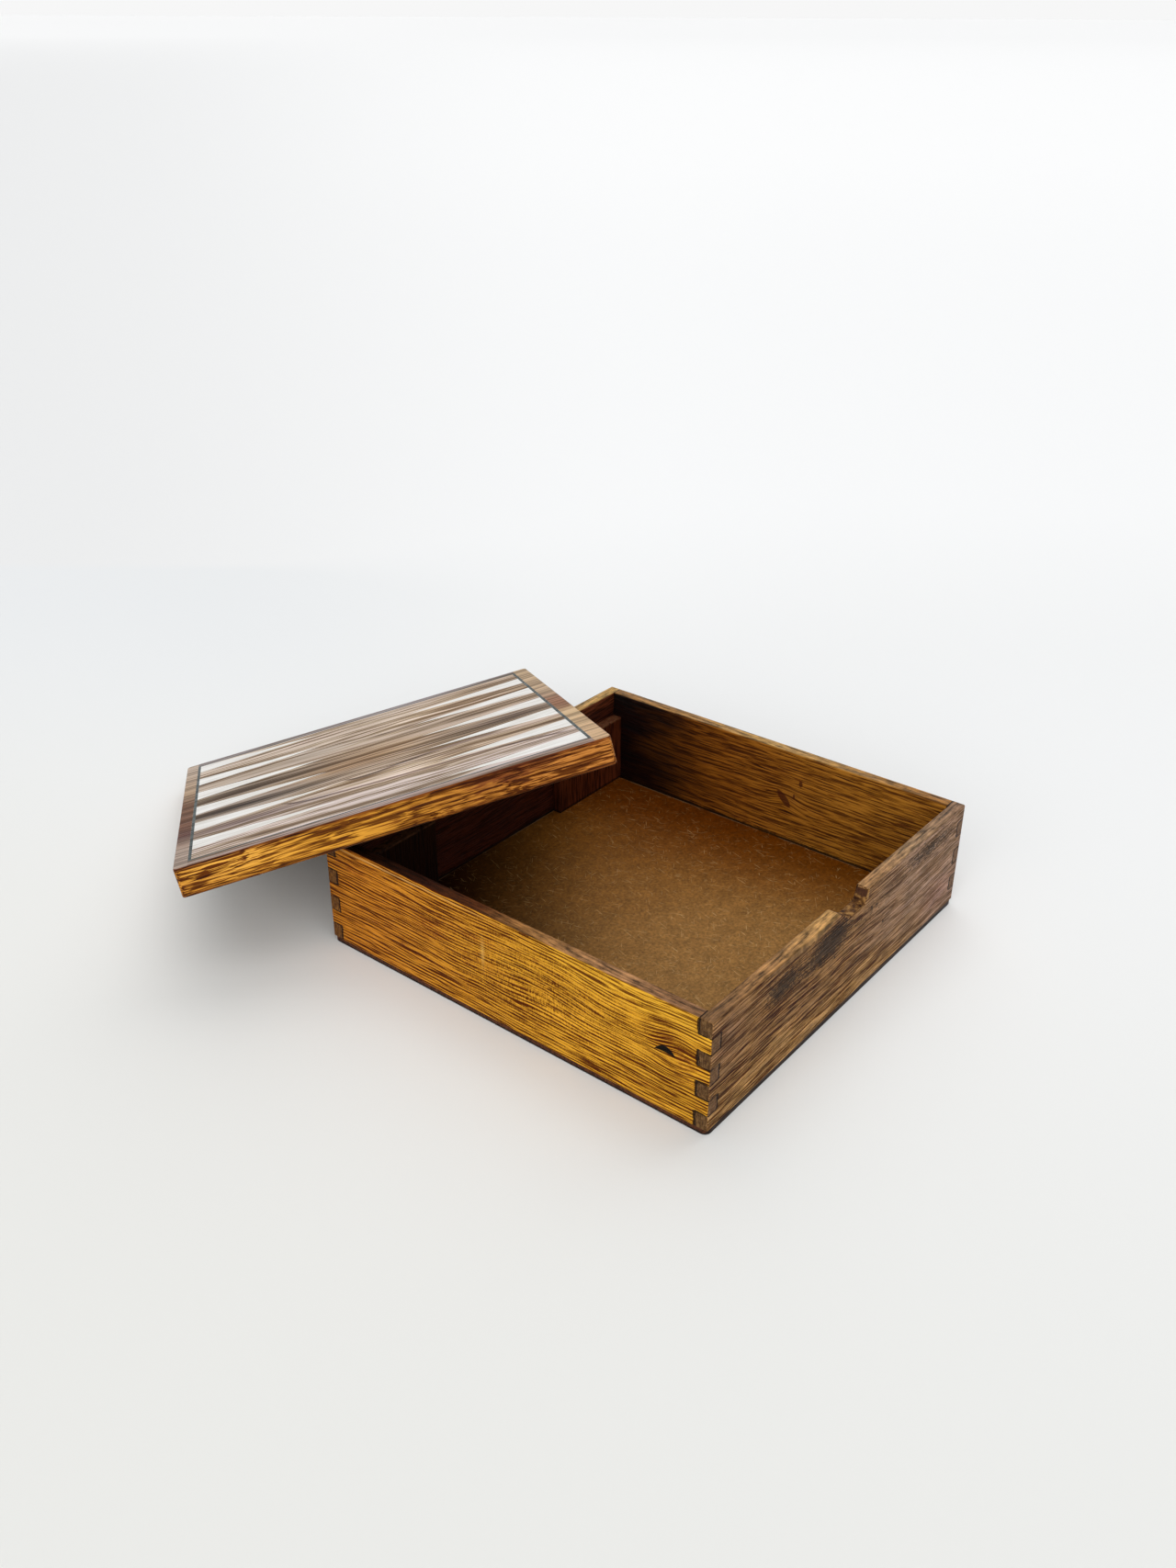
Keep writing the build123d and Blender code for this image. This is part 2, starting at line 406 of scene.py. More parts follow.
def left_knot(g, outer):
    """A dark knot between two arches, and the brown ring of wood over it."""
    knot_middle, knot_top, knot_bottom = -96.2, 38.5, 35.8
    beside = g.sub(g.u, knot_middle)
    arch = g.mul(beside, beside)
    over = g.sub(g.v, g.sub(knot_top, g.mul(arch, 0.115)))
    under = g.sub(g.v, g.sub(knot_bottom, g.mul(arch, 0.015)))
    knot = g.mul(g.step(over, 0.5, 0.1), g.step(under, -0.5, -0.1), outer)
    ring = g.mul(g.patch(-96, knot_top, 6.5, 3.4), g.step(over, -0.4, 0.6), outer)
    return knot, ring


def left_wall():
    """Golden and close grained outside, bent round a knot near the front corner, and dark inside."""
    swells = ((-74, 52, 30, 9, -2.6), (-72, 40, 28, 8, -3.0), (-26, 33, 20, 9, 2.6), (-102, 45, 9, 7, 2.0),
              (-101, 29, 12, 6, -2.4), (36, 38, 18, 7, -1.2), (78, 22, 34, 10, 1.4))
    g = Board("left_wall_wood", Y, Z, X, 0.4, swells)
    outer, inner = g.toward(-X), g.toward(X)
    value = left_grain(g)
    knot, ring = left_knot(g, outer)
    colour = g.tint(g.mul(ring, 0.6), left_face(g, value), tone(196, 150, 130))
    colour = g.mix(knot, colour, tone(14, 8, 5))
    colour = g.mix(inner, colour, g.wood(value, 74, 42, 18))
    # The rim is rubbed, and goes nearly black towards the back in painted shade of the lid
    rim = g.rubbed((0.10, (124, 88, 58)), (0.25, (152, 110, 72)), (0.42, (140, 98, 54)),
                   (0.56, (74, 38, 14)), (0.70, (36, 14, 5)), (0.90, (20, 8, 3)))
    colour = g.mix(g.toward(Z), colour, rim)
    # A pale line just under the rim's outer edge, towards the back: wear, and a painted highlight along the
    # rounded edge
    pale_line_height = g.sub(RIM - 1.6, g.mul(g.grain(18, 3, 2.0, 0.6, 2.0), 1.2))
    wear_and_highlight_line = g.mul(outer, g.band(g.v, pale_line_height, 0.3, 0.3))
    colour = g.mix(g.mul(wear_and_highlight_line, g.step(g.u, -20, 60), 0.6), colour, tone(206, 158, 92))
    rounded = g.mul(g.band(g.facing(X), -0.6, 0.15, 0.1), g.step(g.facing(Z), 0.3, 0.5))
    colour = g.mix(g.mul(rounded, g.step(g.u, -70, 30), 0.7), colour, tone(62, 20, 4))
    lines = seams(g)
    colour = g.mix(g.mul(lines, 0.92), finger_ends(g, colour), tone(28, 12, 3))
    height = g.sub(value, g.add(g.mul(lines, 0.5), g.mul(knot, 2.0)))
    return g.finish(colour, g.line(value, -0.3, 0.62), 0.05, height, 0.4)


def right_wall():
    """Olive brown inside, with fine dark dashes and small knots, and nearly black at the back."""
    g = Board("right_wall_wood", Y, Z, X, 0.3, ((-14, 31, 9, 7, 3.0), (60, 36, 30, 10, -2.0)))
    outer, inner = g.toward(X), g.toward(-X)
    value = g.add(g.strands(0.7, 19.0, 1.9, 0.6, 0.4), g.mul(g.ripple(2.0), 0.07))
    along = g.add(g.u, g.mul(g.waver(30, 14), 70))
    colour = g.mix(g.step(along, -70, 60), g.wood(value, 142, 90, 22), g.wood(value, 120, 66, 12))
    colour = g.mix(g.step(along, 16, 100), colour, g.wood(value, 18, 4, 2))
    colour = g.tint(g.mul(g.pores(13, 0.6, 0.58, 0.66, 5.0), 0.85), colour, tone(130, 84, 56))
    knot_u, knot_v = g.add(g.u, 13.0), g.sub(g.v, 31.5)
    slanting = g.bell(g.add(knot_u, knot_v), g.sub(knot_u, knot_v), 0.0, 0.0, 10.0, 3.6)
    knots = g.most(slanting, g.patch(-23.5, 44.5, 1.4, 2.2), g.patch(-19.7, 35.1, 0.9, 2.0, 0.8))
    colour = g.mix(g.mul(g.step(knots, 0.35, 0.55), inner, 0.85), colour, tone(64, 22, 6))
    colour = g.mix(g.mul(outer, 0.8), colour, g.wood(value, 150, 104, 58))
    rim = g.rubbed((0.08, (132, 90, 42)), (0.25, (148, 108, 56)), (0.5, (158, 122, 68)),
                   (0.7, (144, 106, 58)), (0.92, (130, 92, 48)))
    colour = g.mix(g.toward(Z), colour, rim)
    # Glue lines, and painted shade along the inner foot of the wall
    lines = g.most(seams(g), foot_shade(g, inner))
    colour = g.mix(g.mul(lines, 0.9), finger_ends(g, colour), tone(22, 9, 3))
    return g.finish(colour, g.line(value, -0.3, 0.66), 0.1, g.sub(value, g.mul(lines, 0.5)), 0.4)


def front_face(g, value):
    """Brown on the left and greyish purple on the right, partly a painted sheen, yellower low down, in soft
    clouds.
    """
    drift = g.mul(g.waver(30, 9), 30)
    # The greyish purple to the right is partly a painted sheen
    to_right = g.step(g.add(g.u, drift), -10, 80)
    colour = g.mix(to_right, g.wood(value, 136, 96, 49, 1.3), g.wood(value, 153, 119, 88, 0.8))
    low = g.mul(g.step(g.add(g.v, drift), 26, 8), g.step(g.u, 110, 30))
    colour = g.mix(g.mul(low, 0.8), colour, g.wood(value, 170, 126, 66, 1.2))
    # A paler pinkish patch low near the right corner: painted sheen
    colour = g.mix(g.patch(100, 17, 18, 11, 0.7), colour, g.wood(value, 150, 110, 90, 0.5))
    colour = g.mix(g.patch(-108, 48, 14, 14, 0.6), colour, g.wood(value, 136, 98, 66, 0.9))
    cloud = g.noise((g.mul(g.u, 0.07), g.mul(g.v, 0.16), 3.0), 3.0, 0.55)
    return g.shade(colour, g.step(cloud, 0.25, 0.75, 0.72, 1.28))


def front_dirt(g):
    """The dark stain of handling under the notch's left side, with weaker ones along the rim."""
    stain = g.add(g.patch(-18, 50, 18, 9, 0.40), g.patch(-63, 49, 17, 8, 0.34),
                  g.patch(80, 54, 32, 6, 0.28), g.patch(-36, 44, 14, 7, 0.14),
                  g.patch(22, 47, 16, 6, 0.18))
    return g.step(g.add(g.grain(2.6, 1.1, 3.0, 0.7, 11.0), stain), 0.64, 0.78)


def front_spill(g, outer):
    """Rubbed wood that runs down over the outer face in a ragged line, furthest left of the notch."""
    ragged = g.noise((g.mul(g.u, 0.13), 2.0, 6.0), 4.0, 0.65)
    golden = g.step(g.bell(g.u, 0.0, -48, 0.0, 32, 1.0), 0.25, 0.75)
    limit = g.sub(RIM, g.mul(ragged, g.line(golden, 5.5, 1.8)))
    return g.mul(outer, g.step(g.v, limit, g.add(limit, 0.5)))


def front_notch(g, outer, colour):
    """The notch's rough cut, its chipped steep side with a golden edge, and where it is cracked."""
    cut = g.mul(g.step(g.u, NOTCH_LEFT - 1, NOTCH_LEFT + 2),
                g.step(g.u, NOTCH_RIGHT + 1, NOTCH_RIGHT + 0.4),
                g.step(g.v, RIM - 0.9, RIM - 1.6), g.step(g.span(g.facing(Y)), 0.8, 0.5))
    speck = g.noise((g.mul(g.u, 0.45), g.mul(g.w, 0.3), g.mul(g.v, 0.45)), 3.0, 0.6)
    rough = g.tones(speck, (0.36, tone(46, 24, 10)), (0.5, tone(96, 62, 30)), (0.66, tone(160, 118, 66)))
    colour = g.mix(cut, colour, rough)
    steep = g.mul(cut, g.step(g.facing(X), -0.35, -0.7), g.step(g.u, 0, 1))
    chipped = g.step(g.sub(g.v, g.mul(speck, 3.0)), RIM - 7.4, RIM - 6.2)
    colour = g.mix(g.mul(steep, chipped, 0.92), colour, tone(72, 44, 30))
    golden = g.mul(outer, g.band(g.u, NOTCH_RIGHT - 0.2, 0.7, 0.4), g.step(g.v, RIM - 7, RIM - 5))
    colour = g.mix(g.mul(golden, 0.6), colour, tone(176, 132, 76))
    crack = g.mul(cut, g.band(g.add(g.u, g.mul(g.w, -0.25)), NOTCH_LEFT + 33.0, 0.7, 0.6))
    return colour, crack


def front_wall():
    """Faded and stained outside, greyer to the right with a painted sheen, and brown inside, with a rim
    rubbed golden left of the notch.
    """
    g = Board("front_wall_wood", X, Z, Y, 0.5, ((-60, 40, 40, 14, 2.5), (60, 30, 40, 12, -2.0)))
    outer, inner = g.toward(-Y), g.toward(Y)
    value = g.add(g.strands(0.62, 20.0, 2.0, 0.6, 0.4), g.mul(g.ripple(1.9), 0.06))
    dirt = front_dirt(g)
    colour = g.mix(g.mul(dirt, 0.85), front_face(g, value), tone(40, 28, 18))
    colour = g.tint(g.patch(-20, 50, 16, 8, 0.5), colour, tone(166, 148, 128))
    specks = g.step(g.noise((g.mul(g.u, 0.8), g.mul(g.v, 1.1), 9.0), 2.0, 0.6), 0.64, 0.72)
    colour = g.mix(g.mul(specks, 0.55), colour, tone(62, 42, 32))
    colour = g.tint(g.mul(g.pores(6, 0.36, 0.57, 0.66), 0.8), colour, tone(130, 106, 90))
    pits = g.most(g.patch(-15, 38, 0.9, 0.9), g.patch(34, 33, 0.9, 0.9))
    colour = g.mix(g.step(pits, 0.4, 0.6), colour, tone(24, 14, 10))
    colour = g.mix(inner, colour, g.wood(value, 84, 50, 26))
    rim = g.rubbed((0.04, (116, 84, 54)), (0.22, (148, 108, 66)), (0.42, (176, 134, 80)),
                   (0.60, (150, 112, 74)), (0.75, (142, 112, 80)), (0.97, (126, 98, 76)))
    colour = g.mix(g.most(g.toward(Z), front_spill(g, outer)), colour, rim)
    colour, crack = front_notch(g, outer, colour)
    colour = g.mix(g.step(g.span(g.u), 100, 101), colour, finger_ends(g, colour))
    # Glue lines, painted shade along the inner foot of the wall, and the crack
    lines = g.most(seams(g), foot_shade(g, inner), crack)
    colour = g.mix(g.mul(lines, 0.92), colour, tone(24, 12, 7))
    height = g.sub(value, g.add(g.mul(lines, 0.5), g.mul(dirt, 0.05)))
    return g.finish(colour, g.line(value, -0.3, 0.64), 0.06, height, 0.45)


def back_wall():
    """Brown outside, and dark inside, in the shade of the lid."""
    g = Board("back_wall_wood", X, Z, Y, 0.4)
    inner = g.toward(-Y)
    value = g.strands(0.8, 15.0, 2.2, 1.0, 0.5)
    shaded = g.mix(g.step(g.v, RIM - 9, RIM - 4), g.wood(value, 59, 23, 9), g.wood(value, 96, 46, 22))
    colour = g.mix(inner, g.wood(value, 138, 90, 42), shaded)
    colour = g.tint(g.mul(g.pores(8, 0.5, 0.58, 0.66, 5.0), 0.8), colour, tone(130, 90, 66))
    rim = g.rubbed((0.1, (120, 80, 44)), (0.5, (138, 96, 54)), (0.75, (150, 112, 62)),
                   (0.9, (164, 128, 72)))
    colour = g.mix(g.toward(Z), colour, rim)
    # Glue lines, and painted shade along the inner foot of the wall
    lines = g.most(seams(g), foot_shade(g, inner))
    colour = g.mix(g.mul(lines, 0.9), finger_ends(g, colour), tone(16, 6, 3))
    return g.finish(colour, g.line(value, -0.3, 0.66), 0.1, g.sub(value, g.mul(lines, 0.5)), 0.4)


def block_wood():
    """Reddish brown upright grain, nearly black on the left in painted shade of the lid, with worn tops,
    and nearly black along the foot.
    """
    g = Board("block_wood", Z, X, Y, 0.3)
    value = g.strands(0.9, 16.0, 2.0, 1.0, 0.4)
    # Painted shade of the lid: the blocks on the left, under it, are nearly black
    colour = g.mix(g.step(g.v, 0, 90), g.wood(value, 26, 10, 4), g.wood(value, 76, 32, 12))
    worn = g.noise((g.mul(g.v, 0.2), g.mul(g.w, 0.5), 1.0), 3.0, 0.6)
    height = g.sub(g.u, g.mul(worn, 2.0))
    block_top = RIM - LID_THICK
    top = g.step(height, block_top - 2.4, block_top - 1.6)
    colour = g.mix(g.mul(top, g.step(worn, 0.35, 0.6), 0.8), colour, tone(96, 62, 38))
    low = g.step(height, SHEET_TOP, SHEET_TOP + 1.0, 1.0, 0.0)
    colour = g.mix(g.mul(low, 0.8), colour, tone(12, 5, 3))
    return g.finish(colour, g.line(value, -0.3, 0.66), 0.1, value, 0.3)


def base_wood():
    """Dark brown, redder on its left edge, scuffed, and nearly black along the bottom in painted contact
    shade.
    """
    g = Board("base_wood", X, Y, Z, 1.2)
    value = g.strands(1.2, 16.0, 1.2, 0.6, 0.3)
    colour = g.mix(g.toward(-X), g.wood(value, 38, 20, 12), g.wood(value, 70, 34, 11))
    # Painted contact shade: nearly black along the bottom
    colour = g.mix(g.step(g.w, 1.7, 0.9), colour, tone(16, 8, 5))
    scuff = g.noise((g.mul(g.u, 0.3), g.mul(g.v, 0.3), g.mul(g.w, 1.5)), 4.0, 0.7)
    colour = g.mix(g.mul(g.step(scuff, 0.56, 0.70), 0.5), colour, tone(104, 62, 30))
    return g.finish(colour, g.line(value, -0.3, 0.66), 0.15, value, 0.3)


def hardboard_fibres(g, x, y):
    """Short pale fibres that lie in five directions."""
    fibres = 0.0
    for turn in range(0, 180, 36):
        cosine, sine = cos(radians(turn)), sin(radians(turn))
        along = g.add(g.mul(x, cosine), g.mul(y, sine))
        across = g.sub(g.mul(y, cosine), g.mul(x, sine))
        fibre = g.noise((g.mul(along, 0.13), g.mul(across, 1.9), turn * 1.7), 0.0)
        fibres = g.most(fibres, g.step(fibre, 0.77, 0.84))
    return fibres


def hardboard():
    """Pressed board: smooth, with a few pale fibres, and painted light and shade: paler towards the front,
    darker and yellower by the right wall, and darker to the left, where the lid shades it.
    """
    g = Graph("hardboard")
    x, y, z = g.place((X, Y, Z))
    cloud = g.sub(g.noise((g.mul(x, 0.02), g.mul(y, 0.02), 0.0), 3.0), 0.5)
    # Painted light and sheen: the board is paler towards the front
    near = g.step(g.add(g.mul(x, -0.5), g.mul(y, -0.8), g.mul(cloud, 50)), -90, 100)
    colour = g.mix(near, tone(112, 70, 22), tone(145, 106, 58))
    # Painted shade and bounced light: darker and yellower by the right wall
    right = g.step(g.add(x, g.mul(y, 0.1), g.mul(cloud, 40)), 20, 112)
    colour = g.tint(right, colour, tone(196, 156, 44))
    # Painted shadow of the lid: darker to the left
    left = g.step(g.add(g.mul(x, -0.8), g.mul(y, 0.7), g.mul(cloud, 30)), 12, 125)
    colour = g.tint(left, colour, tone(70, 36, 10))
    fine = g.noise((g.mul(x, 0.6), g.mul(y, 0.6), z), 4.0, 0.75)
    blotch = g.noise((g.mul(x, 0.11), g.mul(y, 0.11), 7.0), 2.0, 0.6)
    uneven = g.mul(g.step(fine, 0.25, 0.75, 0.60, 1.40), g.step(blotch, 0.25, 0.75, 0.86, 1.14))
    colour = g.shade(colour, uneven)
    # The fibres show less in the painted shade
    lit = g.mul(near, g.invert(left))
    fibres = g.mul(hardboard_fibres(g, x, y), g.line(lit, 0.26, 0.20))
    colour = g.mix(fibres, colour, tone(226, 188, 130))
    colour = g.mix(g.toward(Z), tone(150, 118, 80), colour)
    rim = g.step(g.most(g.span(x), g.span(y)), INNER - 1.3, INNER - 0.9)
    broken = g.step(g.noise((g.mul(x, 0.06), g.mul(y, 0.06), 2.0)), 0.42, 0.55)
    colour = g.mix(g.mul(rim, broken, 0.6), colour, tone(120, 96, 70))
    return g.finish(colour, g.line(fine, 0.2, 0.45), 0.05, fine, 0.03)


def lid_mark(g, points):
    """A thin wavy dark line along the lid's top, through points given from 0 to 1 in x and y."""
    half_width = 1.1
    start, end = points[0][0], points[-1][0]
    share = g.line(g.u, 1 / LID, 0.5)
    height = g.sub(g.mul(g.curve(share, points), LID), LID / 2)
    wander = g.mul(g.sub(g.noise((g.mul(g.u, 0.12), 4.0, 2.0)), 0.5), 2.0)
    reach = g.mul(g.step(share, start, start + 0.03), g.step(share, end, end - 0.06))
    return g.mul(g.band(g.sub(g.v, wander), height, half_width, half_width), reach)


def lid_field(g, value):
    """The faded wood of the lid's top: grey brown, paled towards the right and the near edge by a painted
    sheen, with dark and golden brown streaks and two marks.
    """
    colour = g.wood(value, 182, 160, 130)
    # Patches of other wood; the paler greyer ones to the right and along the near edge are partly painted
    # sheen
    for place, wood in (
        (g.patch(-4, 2, 40, 26, 0.75), (160, 122, 72, 0.9)),
        (g.patch(-76, -26, 60, 10), (56, 34, 12, 0.9)),
        (g.patch(-72, 9, 56, 11), (74, 50, 16, 0.9)),
        (g.patch(-80, -60, 48, 8), (84, 52, 36, 0.9)),
        (g.patch(-72, 43, 50, 12, 0.6), (128, 106, 72, 0.9)),
        (g.mul(g.step(g.u, 20, 70), 0.6), (164, 136, 104, 0.9)),
        (g.patch(82, -9, 46, 9), (76, 50, 22, 0.9)),
        (g.patch(50, 26, 40, 8, 0.6), (110, 84, 56, 0.9)),
        (g.mul(g.step(g.v, -50, -80), 0.6), (186, 168, 150, 0.8)),
    ):
        colour = g.mix(place, colour, g.wood(value, *wood))
    # The lighter patches are partly painted sheen; the darker one is the wood's own
    uneven = g.add(1.0, g.patch(22, -60, 56, 16, 0.30), g.patch(45, 64, 36, 16, 0.25),
                   g.patch(-70, -94, 34, 12, 0.16), g.patch(-32, 45, 28, 12, -0.20))
    colour = g.shade(colour, uneven)
    colour = g.tint(g.patch(-24, -12, 32, 16), colour, tone(239, 227, 208))
    colour = g.tint(g.patch(36, 0, 34, 16, 0.6), colour, tone(246, 240, 228))
    streak = g.step(g.grain(60, 2.4, 2.0, 0.5, 13.0), 0.56, 0.66)
    colour = g.tint(g.mul(streak, 0.75), colour, tone(160, 138, 112))
    upper = lid_mark(g, ((0.39, 0.34), (0.433, 0.308), (0.49, 0.313), (0.583, 0.337), (0.667, 0.346),
                         (0.83, 0.342)))
    lower = lid_mark(g, ((0.24, 0.292), (0.283, 0.25), (0.4, 0.225), (0.5, 0.213), (0.79, 0.192),
                         (0.958, 0.142)))
    return g.tint(g.mul(g.most(upper, lower), 0.85), colour, tone(124, 92, 74))


def lid_borders(g, value, colour):
    """The strips outside the border lines, each in its own wood."""
    left = g.step(g.u, STRING_LEFT + 0.2, STRING_LEFT - 0.3)
    right = g.step(g.u, STRING_RIGHT - 0.2, STRING_RIGHT + 0.3)
    side = g.step(g.span(g.v), STRING_FAR - 0.2, STRING_FAR + 0.3)
    far = g.step(g.v, STRING_FAR - 0.2, STRING_FAR + 0.3)
    colour = g.mix(g.mul(side, 0.7), colour, g.wood(value, 126, 100, 82, 0.9))
    colour = g.mix(g.mul(far, 0.8), colour, g.wood(value, 106, 96, 88, 0.8))
    up = g.line(g.add(g.v, g.mul(g.waver(9, 5), 14)), 1 / LID, 0.5)
    left_wood = g.tones(up, (0.12, tone(158, 138, 124)), (0.20, tone(134, 108, 92)),
                        (0.25, tone(70, 30, 20)), (0.33, tone(92, 52, 26)), (0.55, tone(100, 62, 32)),
                        (0.68, tone(156, 128, 100)), (0.95, tone(172, 152, 134)))
    right_wood = g.tones(up, (0.10, tone(184, 150, 112)), (0.34, tone(186, 156, 116)),
                         (0.42, tone(128, 82, 48)), (0.52, tone(124, 80, 50)), (0.62, tone(172, 144, 114)),
                         (0.90, tone(174, 146, 112)))
    streaky = g.step(value, 0.25, 0.75, 0.66, 1.30)
    colour = g.mix(left, colour, g.shade(left_wood, streaky))
    return g.mix(right, colour, g.shade(right_wood, streaky))


def lid_sides(g):
    """The amber sides of the lid: paler on the left, burnt in a streak, and dark along both edges."""
    value = g.strands(0.8, 24.0, 2.4, 1.4, 0.5, 21.0)
    amber = g.mix(g.step(g.u, -20, 105), g.wood(value, 160, 102, 28, 1.1), g.wood(value, 170, 106, 40, 1.1))
    yellow, pale = g.bell(g.u, g.w, -40, 7, 44, 12), g.bell(g.u, g.w, -86, 11, 26, 7)
    amber = g.mix(g.mul(yellow, 0.7), amber, g.wood(value, 196, 136, 38, 1.1))
    amber = g.mix(g.mul(pale, 0.75), amber, g.wood(value, 204, 146, 52, 1.25))
    amber = g.tint(g.mul(g.pores(22, 0.6, 0.55, 0.63), 0.8), amber, tone(128, 78, 50))
    streak = g.add(g.bell(g.u, g.w, 58, 12, 30, 6), g.mul(g.waver(14, 2.0), 1.6))
    burnt = g.mul(g.toward(-LID_Y), g.step(streak, 0.3, 0.7))
    amber = g.mix(g.mul(burnt, 0.8), amber, g.wood(value, 96, 44, 16))
    height = g.add(g.w, g.mul(g.grain(9, 2.0, 2.0, 0.6, 31.0), 2.6))
    upper = g.step(height, LID_THICK - 0.8, LID_THICK + 0.4)
    amber = g.tint(g.mul(upper, 0.8), amber, tone(130, 76, 52))
    lower = g.step(g.w, 2.6, 0.4)
    return g.tint(g.mul(lower, 0.8), amber, tone(124, 80, 50))


def lid_wood():
    """The lid board: faded on top, with a painted sheen, amber at the sides, and grey brown underneath."""
    swells = ((10, -45, 50, 14, 3.0), (-20, 30, 50, 18, -4.0))
    g = Board("lid_wood", LID_X, LID_Y, LID_NORMAL, 1.0, swells, LID_MIDDLE)
    ripple = g.mul(g.ripple(2.4), g.step(g.v, -40, -75, 0.02, 0.10))
    value = g.add(g.strands(2.0, 90.0, 2.4, 1.6, 0.5), ripple)
    top = lid_borders(g, value, lid_field(g, value))
    colour = g.mix(g.toward(LID_NORMAL), lid_sides(g), top)
    rounded = g.band(g.facing(LID_NORMAL), 0.62, 0.2, 0.1)
    colour = g.mix(g.mul(rounded, 0.75), colour, tone(96, 48, 24))
    under = g.step(g.facing(LID_NORMAL), -0.5, -0.85)
    colour = g.mix(under, colour, g.wood(value, 118, 98, 76, 0.5))
    return g.finish(colour, g.line(value, -0.2, 0.55), 0.08, value, 0.2)


def inlay(name, gloss, dark, middle, pale):
    """A thin inlay in the lid's top, with faint strands in three tones."""
    g = Board(name, LID_X, LID_Y, LID_NORMAL, 0.2, (), LID_MIDDLE)
    value = g.strands(0.7, 18.0, 1.0, 0.6, 0.4)
    colour = g.tones(value, (0.35, tone(*dark)), (0.5, tone(*middle)), (0.65, tone(*pale)))
    return g.finish(colour, g.line(value, -0.2, 0.5), gloss, value, 0.05)


def paint(name, material):
    """Gives a CAD piece its one material."""
    mesh = nodes[name].data
    mesh.materials.clear()
    mesh.materials.append(material)
    for polygon in mesh.polygons:
        polygon.material_index = 0


paint("left_wall", left_wall())
paint("right_wall", right_wall())
paint("front_wall", front_wall())
paint("back_wall", back_wall())
blocks = block_wood()
for end in ("front", "back"):
    for hand in ("left", "right"):
        paint(f"{end}_{hand}_block", blocks)
paint("base_panel", base_wood())
paint("floor_sheet", hardboard())
paint("lid_board", lid_wood())
white = inlay("white_inlay", 0.1, (216, 211, 204), (232, 229, 224), (242, 240, 237))
grey = inlay("grey_string", 0.08, (24, 32, 32), (48, 58, 58), (84, 94, 94))
for hand in ("left", "right"):
    for number in range(1, POINTS + 1):
        paint(f"{hand}_point_{number}", white)
for side in ("left", "right", "near", "far"):
    paint(f"{side}_string", grey)

# Camera at the photograph's place
camera = bpy.data.objects.new("camera", bpy.data.cameras.new("camera"))
bpy.context.scene.collection.objects.link(camera)
bpy.context.scene.camera = camera
camera_turns = Euler((CAMERA_TILT, CAMERA_ROLL, CAMERA_TURN))
camera.matrix_world = Matrix.LocRotScale(CAMERA_PLACE, camera_turns, None)
camera.data.sensor_width = SENSOR
camera.data.lens = SENSOR * FOCAL_LENGTH / PHOTO_HEIGHT
camera.data.clip_start = 0.01


def floor_paper():
    """White paper in uneven light, paler to the far right beyond the line where the backdrop starts.
    Far off it is even. Its tones are linear. Spread is how far to the side of the camera's heading
    a point lies, as a share of its distance."""
    g = Graph("floor_paper")
    place = g.vector(*g.place((X, Y, Z)))
    away = g.dot(place, AHEAD / 1000)
    aside = g.dot(place, ASIDE / 1000)
    spread = g.math("DIVIDE", aside, g.add(g.math("MAXIMUM", away, -0.3), CAMERA_BEHIND))
    paler = g.step(g.add(away, g.mul(aside, 0.7)), -0.5, 0.45)
    near = g.mix(paler, (0.80, 0.80, 0.775, 1), (0.865, 0.870, 0.870, 1))
    bluish = g.mul(g.step(spread, 0.0, -0.34), g.step(away, 0.0, 0.5))
    near = g.mix(bluish, near, (0.80, 0.812, 0.82, 1))
    far = g.mix(g.step(spread, -0.45, 0.05), (0.81, 0.812, 0.812, 1), (0.905, 0.908, 0.91, 1))
    brightest = g.mul(g.step(spread, -0.3, 0.1), g.step(away, 0.8, 5.0))
    far = g.mix(brightest, far, (0.935, 0.935, 0.935, 1))
    soft = g.step(spread, -0.3, 0.1, 0.012, 0.22)
    colour = g.mix(g.step(g.sub(away, BACKDROP), g.mul(soft, -1.0), soft), near, far)
    distance = g.math("SQRT", g.add(g.mul(away, away), g.mul(aside, aside)))
    colour = g.mix(g.step(distance, 8.0, 40.0), colour, (0.903, 0.903, 0.903, 1))
    return g.finish(colour, 0.9, 0.0)


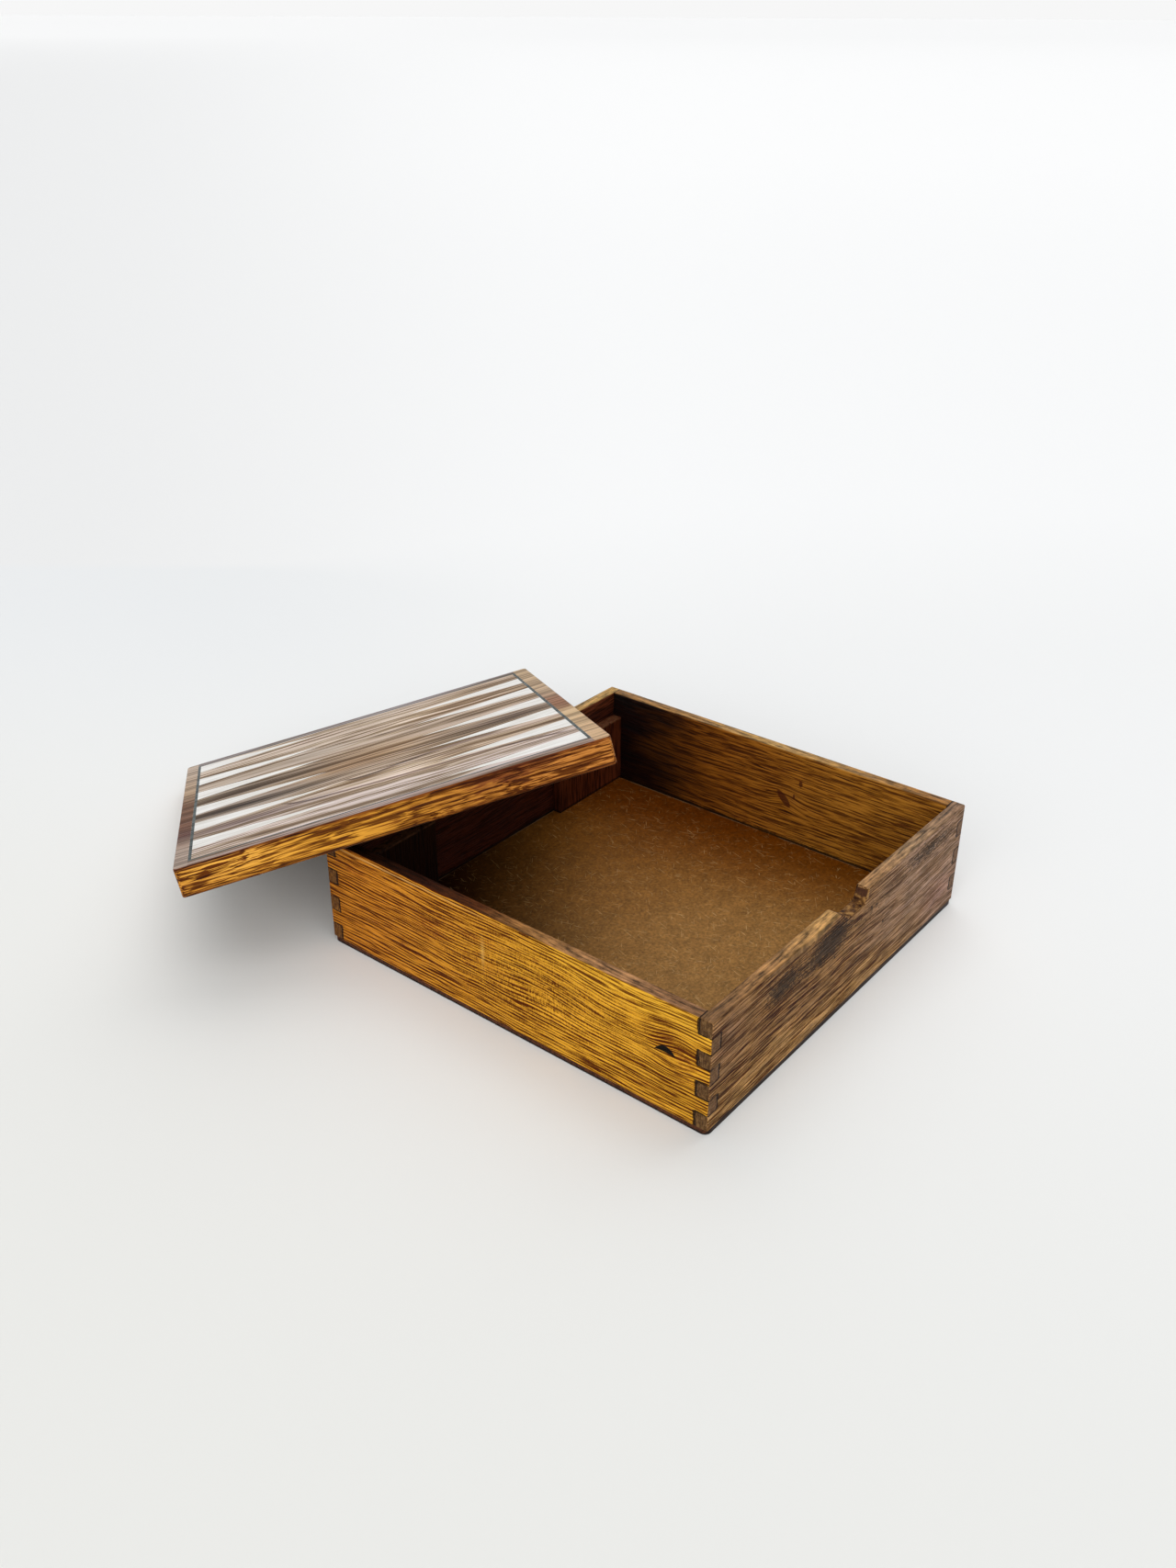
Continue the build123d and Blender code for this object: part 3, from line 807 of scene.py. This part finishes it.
# Floor
floor_mesh = bpy.data.meshes.new("floor")
corners = [(x * FLOOR_REACH, y * FLOOR_REACH, 0) for x, y in ((-1, -1), (1, -1), (1, 1), (-1, 1))]
floor_mesh.from_pydata(corners, [], [(0, 1, 2, 3)])
floor_mesh.materials.append(floor_paper())
floor = bpy.data.objects.new("floor", floor_mesh)
bpy.context.scene.collection.objects.link(floor)


def background(tree, colour, strength):
    """One even light from all round."""
    node = tree.nodes.new("ShaderNodeBackground")
    node.inputs["Color"].default_value = colour
    node.inputs["Strength"].default_value = strength
    return node.outputs[0]


def studio():
    """A weak even sky, and a pale backdrop where the camera, a reflection or glass looks at it."""
    world = bpy.data.worlds.new("studio")
    bpy.context.scene.world = world
    world.use_nodes = True
    tree = world.node_tree
    tree.nodes.clear()
    path = tree.nodes.new("ShaderNodeLightPath")
    seen = path.outputs["Is Camera Ray"]
    for ray in ("Is Glossy Ray", "Is Transmission Ray"):
        either = tree.nodes.new("ShaderNodeMath")
        either.operation = "MAXIMUM"
        tree.links.new(seen, either.inputs[0])
        tree.links.new(path.outputs[ray], either.inputs[1])
        seen = either.outputs[0]
    join = tree.nodes.new("ShaderNodeMixShader")
    tree.links.new(seen, join.inputs[0])
    tree.links.new(background(tree, (0.95, 0.98, 1.0, 1), 0.17), join.inputs[1])
    tree.links.new(background(tree, (0.93, 0.93, 0.93, 1), 1.0), join.inputs[2])
    output = tree.nodes.new("ShaderNodeOutputWorld")
    tree.links.new(join.outputs[0], output.inputs["Surface"])


def lamp(name, direction, strength, spread):
    """A broad distant lamp that shines along the direction; spread is its width in degrees."""
    data = bpy.data.lights.new(name, "SUN")
    data.energy = strength
    data.angle = radians(spread)
    shown = bpy.data.objects.new(name, data)
    shown.rotation_euler = Vector(direction).to_track_quat("-Z", "Y").to_euler()
    bpy.context.scene.collection.objects.link(shown)


# Soft light: the sky and four broad lamps round the box
studio()
lamp("top", (0, 0, -1), 0.70, 70)
lamp("right", (-0.66, -0.24, -0.71), 1.0, 70)
lamp("front", (0.50, 0.50, -0.71), 1.28, 70)
lamp("low_left", (0.94, 0.17, -0.31), 1.45, 50)

bpy.context.scene.view_settings.view_transform = "Standard"
